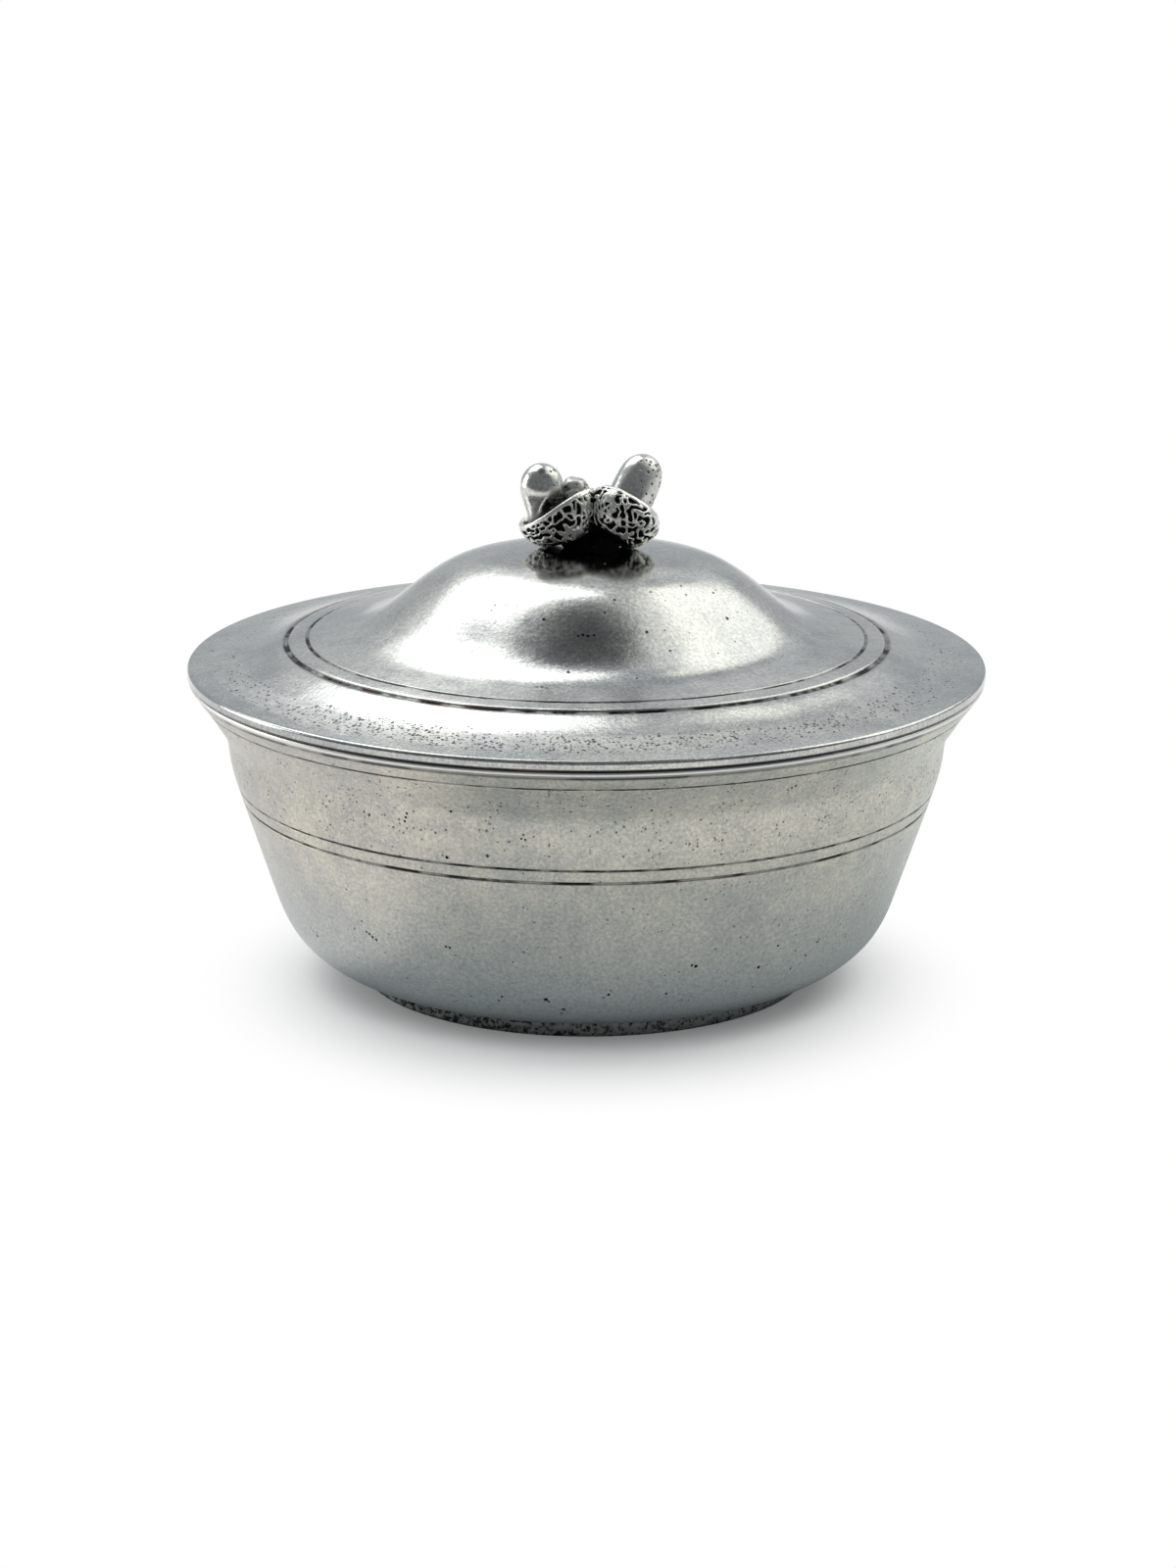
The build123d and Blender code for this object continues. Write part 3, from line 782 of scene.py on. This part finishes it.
def make_twig(material):
    seats = []
    for cup in (LEFT_CUP, RIGHT_CUP):
        turn, origin = cup_place(cup)
        seats.append((origin - turn[:, 2] * (cup["drop"] - CUP_SEAT), turn[:, 2]))
    top = CROWN_Z + TWIG_HEIGHT
    flare_top = CROWN_Z + TWIG_FLARE_HEIGHT
    flare_middle = (TWIG_RADIUS + TWIG_FLARE_MIDDLE[0], CROWN_Z + TWIG_FLARE_MIDDLE[1])
    end, side = (STUD_RADIUS - STUD_CHAMFER, STUD_LOW), (STUD_RADIUS, STUD_LOW + STUD_CHAMFER)
    trunk = joined(
        straight((0, STUD_LOW), end, 0.6),
        straight(end, side, 0.3, 0.05),
        route([side, (STUD_RADIUS, CROWN_Z), (TWIG_FLARE, CROWN_Z)], (0.8, 0.4)),
        arc((TWIG_FLARE, CROWN_Z), flare_middle, (TWIG_RADIUS, flare_top), 12),
        route([(TWIG_RADIUS, flare_top), (TWIG_RADIUS, top), (0, top)], (0.25, 0.4)),
    )
    make_twig_part("twig", trunk, (np.eye(3), np.zeros(3)), seats, material, 71, has_stud=True)
    arm = route([(0, -TWIG_HEIGHT), (TWIG_ARM, -TWIG_HEIGHT), (TWIG_ARM, 0), (0, 0)], (0.5, 0.25, 0.4))
    for number, (origin, axis) in enumerate(seats):
        name = f"twig_arm_{number + 1}"
        make_twig_part(name, arm, frame_at(origin, axis), seats, material, 74 + 3 * number)
    make_crotch(material)


def make_crotch(material):
    """The rough metal in the fork of the twig, between the two cups, near black as painted shade for the
    shadow there.
    """
    turns = np.linspace(-math.pi / 2, math.pi / 2, CROTCH_ROWS)
    line = np.stack([CROTCH_RADIUS * np.cos(turns), CROTCH_HEIGHT * np.sin(turns)], axis=1)
    middle = np.array(CROTCH_PLACE) + (0, 0, CROWN_Z)
    base = placed(swept(line, angles_of(CROTCH_COLUMNS)), (np.eye(3), middle))
    bark = rough(base, 1.3, 83)
    points = base + 0.2 * (bark * np.cos(turns)[:, None])[..., None] * (1, 1, 0)
    # Painted shade: near black all over.
    oxide = np.full(bark.shape, 0.9)
    build("twig_fork", "finial_twig", "pewter_oxidised", material, points, oxide=oxide, wear=0 * bark)


def make_finial(oxidised, polished):
    left, right = cup_place(LEFT_CUP)[1], cup_place(RIGHT_CUP)[1]
    meeting = left + (right - left) * LEFT_CUP["girth"] / (LEFT_CUP["girth"] + RIGHT_CUP["girth"])
    away = unit(right - left)
    make_cup("left", LEFT_CUP, oxidised, meeting + away * LEFT_CUP_REACH, away)
    make_cup("right", RIGHT_CUP, oxidised, meeting + away * CUP_GAP / 2, -away)
    make_nut("bud", "acorn_cup_left", "pewter_oxidised", BUD, LEFT_CUP, polished)
    make_nut("nut_left", "acorn_nut_left", "pewter_polished", LEFT_NUT, LEFT_CUP, polished)
    make_nut("nut_right", "acorn_nut_right", "pewter_polished", RIGHT_NUT, RIGHT_CUP, polished)
    make_twig(oxidised)


# Single marks, found in the photograph

def pixel_ray(x, y):
    """Where the camera stands and the direction in which it sees a pixel of the photograph."""
    right, down = x - PICTURE_WIDTH / 2, y - PICTURE_HEIGHT / 2
    cos_roll, sin_roll = math.cos(CAMERA_ROLL), math.sin(CAMERA_ROLL)
    across = cos_roll * right + sin_roll * down
    below = cos_roll * down - sin_roll * right
    sin_up, cos_up = math.sin(CAMERA_ELEVATION), math.cos(CAMERA_ELEVATION)
    ahead, upward = Vector((0, cos_up, -sin_up)), Vector((0, sin_up, cos_up))
    origin = (Vector((AIM_X, 0, AIM_Z)) - ahead * CAMERA_DISTANCE) * MM
    return origin, (ahead * FOCAL_PIXELS + Vector((across, 0, 0)) - upward * below).normalized()


def marks_on(piece, pixels):
    """The places in mm on a piece where the photograph shows marks, each with its radius."""
    bpy.context.view_layer.update()
    found = []
    for x, y, radius in pixels:
        hit, place = piece.ray_cast(*pixel_ray(x, y))[:2]
        if hit:
            found.append((place / MM, radius))
    return found


# Materials

class Graph:
    """Short calls for building a material's nodes."""

    def __init__(self, tree):
        self.tree = tree
        tree.nodes.clear()

    def node(self, kind, inputs=None, **settings):
        made = self.tree.nodes.new("ShaderNode" + kind)
        for key, value in settings.items():
            setattr(made, key, value)
        for key, value in (inputs or {}).items():
            self.feed(made.inputs[key], value)
        return made

    def feed(self, socket, value):
        if isinstance(value, bpy.types.NodeSocket):
            self.tree.links.new(value, socket)
        else:
            socket.default_value = value

    def math(self, operation, a, b=0.0, c=0.0):
        return self.node("Math", {0: a, 1: b, 2: c}, operation=operation).outputs[0]

    def times(self, a, b):
        return self.math("MULTIPLY", a, b)

    def larger(self, a, b):
        return self.math("MAXIMUM", a, b)

    def vector(self, operation, a, b=(0, 0, 0), scale=None):
        made = self.node("VectorMath", {0: a, 1: b}, operation=operation)
        if scale is not None:
            self.feed(made.inputs["Scale"], scale)
        return made.outputs["Value" if operation in ("LENGTH", "DISTANCE", "DOT_PRODUCT") else "Vector"]

    def span(self, value, low, high, new_low=0.0, new_high=1.0, smooth=True):
        inputs = {"Value": value, "From Min": low, "From Max": high, "To Min": new_low, "To Max": new_high}
        kind = "SMOOTHSTEP" if smooth else "LINEAR"
        return self.node("MapRange", inputs, interpolation_type=kind).outputs["Result"]

    def mix(self, share, a, b):
        made = self.node("Mix", data_type="RGBA")
        for socket, value in ((0, share), (6, a), (7, b)):
            self.feed(made.inputs[socket], value)
        return made.outputs[2]

    def noise(self, place, scale, detail=2.0, roughness=0.5):
        inputs = {"Vector": place, "Scale": scale, "Detail": detail, "Roughness": roughness}
        return self.node("TexNoise", inputs).outputs["Fac"]

    def apart(self, vector):
        return self.node("SeparateXYZ", {"Vector": vector}).outputs

    def layer(self, name):
        return self.node("Attribute", attribute_name=name, attribute_type="GEOMETRY").outputs["Fac"]

    def place(self):
        """The object's own coordinates, in mm."""
        coordinates = self.node("TexCoord")
        return self.vector("SCALE", coordinates.outputs["Object"], scale=1 / MM)


def new_material(name):
    material = bpy.data.materials.new(name)
    material.use_nodes = True
    return material, Graph(material.node_tree)


def pits(graph, place, scale, chance, size):
    """Small round pits: 1 in a pit and 0 around it. Chance is the share of cells that hold one."""
    cells = graph.node("TexVoronoi", {"Vector": place, "Scale": scale})
    lot = graph.node("SeparateColor", {"Color": cells.outputs["Color"]})
    holds = graph.math("LESS_THAN", lot.outputs["Red"], chance)
    width = graph.math("MULTIPLY_ADD", lot.outputs["Green"], size, size * 0.45)
    edge = graph.math("DIVIDE", cells.outputs["Distance"], width)
    return graph.times(graph.span(edge, 0.55, 1.0, 1.0, 0.0), holds)


def scratches(graph, place, scale, width):
    """Thin short curved lines, left where a second noise lets them show."""
    bent = graph.node("TexVoronoi", {"Vector": place, "Scale": scale}, feature="DISTANCE_TO_EDGE")
    line = graph.span(bent.outputs["Distance"], 0.0, width, 1.0, 0.0)
    shown = graph.span(graph.noise(place, scale * 2.7, 1.0), 0.64, 0.70)
    return graph.times(line, shown)


def single_marks(graph, place, marks):
    """1 inside any of a few single pits, 0 outside them."""
    nearest = 9.0
    for centre, radius in marks:
        away = graph.math("DIVIDE", graph.vector("DISTANCE", place, tuple(centre)), radius)
        nearest = graph.math("MINIMUM", away, nearest)
    return graph.span(nearest, 0.8, 1.15, 1.0, 0.0)


def turning_marks(graph, place, fineness):
    """Fine rings left by the lathe: noise drawn out along the circle."""
    parts = graph.apart(place)
    flat = graph.node("CombineXYZ", {"X": parts["X"], "Y": parts["Y"]})
    radius = graph.times(graph.vector("LENGTH", flat.outputs[0]), fineness)
    height = graph.times(parts["Z"], fineness)
    angle = graph.times(graph.math("ARCTAN2", parts["X"], graph.times(parts["Y"], -1.0)), 1.6)
    drawn = graph.node("CombineXYZ", {"X": radius, "Y": height, "Z": angle})
    return graph.noise(drawn.outputs[0], 1.0, 3.0, 0.6)


def total(graph, *weighted):
    """The sum of values times their weights."""
    result = 0.0
    for value, weight in weighted:
        result = graph.math("MULTIPLY_ADD", value, weight, result)
    return result


def flaws(graph, place, dressed):
    """How dark pits, scratches, oxide and painted shade make the metal, and the pits and scratches with their
    depths.
    """
    density = graph.layer("speckle") if dressed else 0.15
    patchy = graph.span(graph.noise(place, 0.09, 3.0, 0.6), 0.36, 0.62)
    spread = graph.times(density, graph.larger(patchy, graph.span(density, 0.45, 0.9)))
    small = pits(graph, place, 1.3, spread, 0.36)
    coarse = pits(graph, graph.vector("ADD", place, (5.0, 17.0, 2.0)), 0.95, graph.layer("pitted"), 0.36)
    large = pits(graph, graph.vector("ADD", place, (31.0, 7.0, 3.0)), 0.20, 0.10, 0.07)
    lines = scratches(graph, place, 0.055, 0.006)
    dark = graph.times(small, 0.6)
    for flaw, darkness in ((large, 0.8), (coarse, 0.8), (lines, 0.3)):
        dark = graph.larger(dark, graph.times(flaw, darkness))
    if dressed:
        dark = graph.larger(dark, graph.layer("oxide"))
    return dark, ((small, -0.04), (coarse, -0.20), (large, -0.06), (lines, -0.02))


def oxide_colour(graph, place):
    """Black oxide, brown in a few places on the left half."""
    stain = graph.span(graph.noise(graph.vector("ADD", place, (11.0, 4.0, 9.0)), 0.045, 2.0), 0.60, 0.70)
    stain = graph.times(stain, graph.span(graph.apart(place)["X"], -5.0, 5.0, 1.0, 0.0))
    return graph.mix(stain, BLACK_OXIDE, BROWN_OXIDE)


def metal(graph, colour, dull, height):
    """The end of a metal's graph: bare metal whose bump has its height in mm."""
    bump = graph.node("Bump", {"Height": height, "Strength": 1.0, "Distance": MM})
    surface = graph.node(
        "BsdfPrincipled",
        {"Base Color": colour, "Metallic": 1.0, "Roughness": dull, "Normal": bump.outputs[0]},
    )
    graph.node("OutputMaterial", {"Surface": surface.outputs[0]})


def pewter(name, tint, shade, roughness, grain=0.016, dressed=True, low=None, rubbed=None, marks=()):
    """Cast pewter: mottled, finely grained, pitted and a little scratched, black where oxide has settled and
    where shade is painted in.
    """
    material, graph = new_material(name)
    place = graph.place()
    broad = graph.noise(place, 0.035, 3.0, 0.55)
    middle = graph.noise(place, 0.16, 4.0, 0.6)
    fine = graph.noise(place, 1.1, 3.0, 0.65)
    lathe = turning_marks(graph, place, 2.2)
    sand = graph.noise(place, 2.4, 2.0, 0.6)
    tone = total(graph, (broad, 0.35), (middle, 0.25), (fine, 0.2), (sand, 0.12), (lathe, 0.08))
    colour = graph.mix(graph.span(tone, 0.4, 0.6), shade, tint)
    # Painted shade: towards the bottom the colour turns to the low colour, darker and cooler.
    if low:
        colour = graph.mix(graph.span(graph.apart(place)["Z"], 4.0, 50.0), low, colour)
    speck = graph.noise(place, 1.3, 3.0, 0.75)
    colour = graph.vector("SCALE", colour, scale=graph.span(speck, 0.34, 0.66, 0.76, 1.14, False))
    coarseness, cuts = flaws(graph, place, dressed)
    dark = coarseness
    if marks:
        dark = graph.larger(dark, single_marks(graph, place, marks))
    colour = graph.mix(dark, colour, oxide_colour(graph, place))
    # Painted highlight: where the wear layer is high, the colour is lifted towards the pale rubbed colour.
    if rubbed:
        colour = graph.mix(graph.times(graph.layer("wear"), 0.85), colour, rubbed)
    dull = total(graph, (broad, 0.10), (middle, 0.08), (fine, 0.05), (lathe, 0.05), (coarseness, 0.35))
    dull = graph.math("MULTIPLY_ADD", graph.layer("pitted"), 0.2, dull)
    dull = graph.math("ADD", dull, roughness - 0.14)
    if dressed:
        dull = graph.times(dull, graph.math("MULTIPLY_ADD", graph.layer("wear"), -0.45, 1.0))
    grains = (middle, 0.07), (fine, grain), (sand, grain * 0.45), (speck, grain), (lathe, 0.004)
    metal(graph, colour, dull, total(graph, *grains, *cuts))
    return material


def oxidised_pewter(name, raised, sunk, roughness):
    """Pewter whose hollows are black and whose ridges are rubbed bright; black all over where the oxide and
    shade layer is high.
    """
    material, graph = new_material(name)
    place = graph.place()
    fine = graph.noise(place, 1.6, 4.0, 0.65)
    middle = graph.noise(place, 0.4, 3.0, 0.6)
    soil = graph.math("MULTIPLY_ADD", graph.math("SUBTRACT", fine, 0.5), 0.9, graph.layer("oxide"))
    soil = graph.span(soil, 0.20, 0.52)
    rubbed = graph.mix(middle, (raised[0] * 0.85, raised[1] * 0.85, raised[2] * 0.83, 1), raised)
    colour = graph.mix(soil, rubbed, sunk)
    dull = graph.math("ADD", total(graph, (soil, 0.42), (fine, 0.2), (middle, 0.1)), roughness - 0.15)
    metal(graph, colour, dull, total(graph, (fine, 0.10), (middle, 0.10)))
    return material


def floor_material():
    """A pale floor that takes the shadow near the bowl and fades to plain white further away."""
    material, graph = new_material("floor")
    material.cycles.emission_sampling = "NONE"
    place = graph.node("TexCoord").outputs["Object"]
    away = graph.vector("LENGTH", place)
    shaded = graph.vector("LENGTH", graph.vector("ADD", place, (0.0, SHADOW_SHIFT, 0.0)))
    parts = graph.apart(place)
    ray = graph.node("LightPath").outputs
    camera = ray["Is Camera Ray"]
    mirrored = graph.larger(ray["Is Glossy Ray"], ray["Is Transmission Ray"])
    plain_share = graph.times(graph.span(shaded, *SHADOW_SPAN, SHADOW_LEAST, 1.0), camera)
    card = graph.span(parts["X"], *CARD_SPAN, 1.0, 0.0)
    mirrored_share = graph.times(graph.larger(graph.span(away, *MIRRORED_SPAN), card), mirrored)
    paint = graph.mix(graph.noise(place, 30.0, 2.0), FLOOR_DARKER, FLOOR_PALER)
    plain = graph.node("BsdfDiffuse", {"Color": graph.mix(camera, paint, FLOOR_SEEN)})
    table_end = graph.span(parts["Y"], *TABLE_SPAN, TABLE_LEAST, 1.0)
    strength = graph.larger(table_end, camera)
    white = graph.node("Emission", {"Color": WHITE, "Strength": strength})
    share = graph.larger(plain_share, mirrored_share)
    both = graph.node("MixShader", {0: share, 1: plain.outputs[0], 2: white.outputs[0]})
    graph.node("OutputMaterial", {"Surface": both.outputs[0]})
    return material


# Stage

def make_floor():
    steps = FLOOR_COLUMNS
    points = [(0, 0, -FLOOR_DROP)]
    for radius in FLOOR_RINGS:
        points += [(radius * math.cos(a), radius * math.sin(a), -FLOOR_DROP) for a in angles_of(steps)]
    faces = [(0, 1 + i, 1 + (i + 1) % steps) for i in range(steps)]
    for ring in range(len(FLOOR_RINGS) - 1):
        inner, outer = 1 + ring * steps, 1 + (ring + 1) * steps
        faces += [
            (inner + i, outer + i, outer + (i + 1) % steps, inner + (i + 1) % steps) for i in range(steps)
        ]
    mesh = bpy.data.meshes.new("floor")
    mesh.from_pydata((np.array(points) * MM).tolist(), [], faces)
    mesh.materials.append(floor_material())
    add_object("floor", mesh)


def make_world():
    """A white surround for the camera and a plain studio with a dim front and ceiling for everything else."""
    world = bpy.data.worlds.new("studio")
    world.use_nodes = True
    bpy.context.scene.world = world
    graph = Graph(world.node_tree)
    parts = graph.apart(graph.node("TexCoord").outputs["Generated"])
    ceiling = graph.span(parts["Z"], *CEILING_SPAN, 1.0, CEILING_LEAST)
    front = graph.span(parts["Y"], *FRONT_SPAN, FRONT_LEAST, 1.0)
    level = graph.times(graph.times(ceiling, front), STUDIO_LEVEL)
    seen = graph.node("LightPath").outputs["Is Camera Ray"]
    studio = graph.node("Background", {"Color": STUDIO_COLOUR, "Strength": level})
    white = graph.node("Background", {"Color": WHITE, "Strength": 1.0})
    both = graph.node("MixShader", {0: seen, 1: studio.outputs[0], 2: white.outputs[0]})
    graph.node("OutputWorld", {"Surface": both.outputs[0]})


def make_lamp(name, azimuth, elevation, distance, width, height, radiance, colour=(1, 1, 1), reflected=True):
    """A soft panel lamp. Azimuth 0 is behind the bowl and 90 is to its right."""
    azimuth, elevation = math.radians(azimuth), math.radians(elevation)
    flat = math.cos(elevation)
    away = Vector((flat * math.sin(azimuth), flat * math.cos(azimuth), math.sin(elevation)))
    lamp = bpy.data.lights.new(name, "AREA")
    lamp.shape = "RECTANGLE"
    lamp.size = width
    lamp.size_y = height
    lamp.energy = radiance * math.pi * width * height
    lamp.color = colour
    holder = add_object(name, lamp)
    holder.location = away * distance + LAMP_AIM
    holder.rotation_euler = away.to_track_quat("Z", "Y").to_euler()
    holder.visible_camera = False
    holder.visible_glossy = reflected


def make_lamps():
    make_lamp("key", -33.0, 53.0, 1.0, 0.66, 0.68, 2.3, (1.0, 0.99, 0.97))
    make_lamp("low", -14.0, 33.0, 1.0, 1.5, 0.16, 0.35, (1.0, 0.995, 0.98))
    make_lamp("cream", 60.0, 43.0, 1.0, 1.0, 0.70, 1.35, (1.0, 0.985, 0.91))
    make_lamp("cream_top", 74.0, 68.0, 1.0, 0.66, 0.24, 0.62, (1.0, 0.985, 0.93))
    make_lamp("side", -74.0, 14.0, 1.0, 0.48, 0.62, 2.6, (1.0, 0.99, 0.97))
    make_lamp("fill", 180.0, 50.0, 1.4, 1.3, 1.3, 2.0, reflected=False)
    make_lamp("top", 0.0, 88.0, 1.5, 1.2, 1.2, 1.0, reflected=False)


def make_camera():
    camera = bpy.data.cameras.new("camera")
    camera.sensor_width = SENSOR
    camera.lens = FOCAL_PIXELS * SENSOR / PICTURE_HEIGHT
    camera.clip_start = 0.05
    camera.clip_end = 50.0
    holder = add_object("camera", camera)
    back = Vector((0, -math.cos(CAMERA_ELEVATION), math.sin(CAMERA_ELEVATION)))
    place = Vector((AIM_X, 0, AIM_Z)) * MM + back * CAMERA_DISTANCE * MM
    tilt = Matrix.Rotation(math.pi / 2 - CAMERA_ELEVATION, 4, "X")
    holder.matrix_world = Matrix.Translation(place) @ tilt @ Matrix.Rotation(CAMERA_ROLL, 4, "Z")
    bpy.context.scene.camera = holder


def dress(node, material):
    """A CAD node that is shown as it is, with a material of its own."""
    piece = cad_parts[node]
    piece.data.materials.clear()
    piece.data.materials.append(material)
    for polygon in piece.data.polygons:
        polygon.use_smooth = False


def main():
    bowl = make_bowl()
    lid = make_lid()
    body = pewter(
        "bowl_pewter", BODY_TINT, BODY_SHADE, 0.34, grain=0.02, low=BODY_PAINTED_LOW_SHADE, rubbed=BODY_PAINTED_BEAD_HIGHLIGHT,
        marks=marks_on(bowl, BOWL_MARKS),
    )
    shell = pewter("lid_pewter", LID_TINT, LID_SHADE, 0.20, marks=marks_on(lid, LID_MARKS))
    bowl.data.materials.append(body)
    lid.data.materials.append(shell)
    hidden = pewter("ring_pewter", RING_TINT, RING_SHADE, 0.36, dressed=False)
    fixing = pewter("fixing_metal", FIXING_TINT, FIXING_SHADE, 0.28, dressed=False)
    polished = pewter("nut_pewter", NUT_TINT, NUT_SHADE, 0.28)
    oxidised = oxidised_pewter("cup_pewter", CUP_RAISED, CUP_SUNK, 0.26)
    cast = oxidised_pewter("foot_pewter", FOOT_RAISED, FOOT_SUNK, 0.45)
    make_foot(cast)
    make_finial(oxidised, polished)
    dress("lid_bezel", hidden)
    dress("finial_washer", fixing)
    dress("finial_cap_nut", fixing)
    make_floor()
    make_world()
    make_lamps()
    make_camera()
    bpy.context.scene.view_settings.view_transform = "Standard"


main()
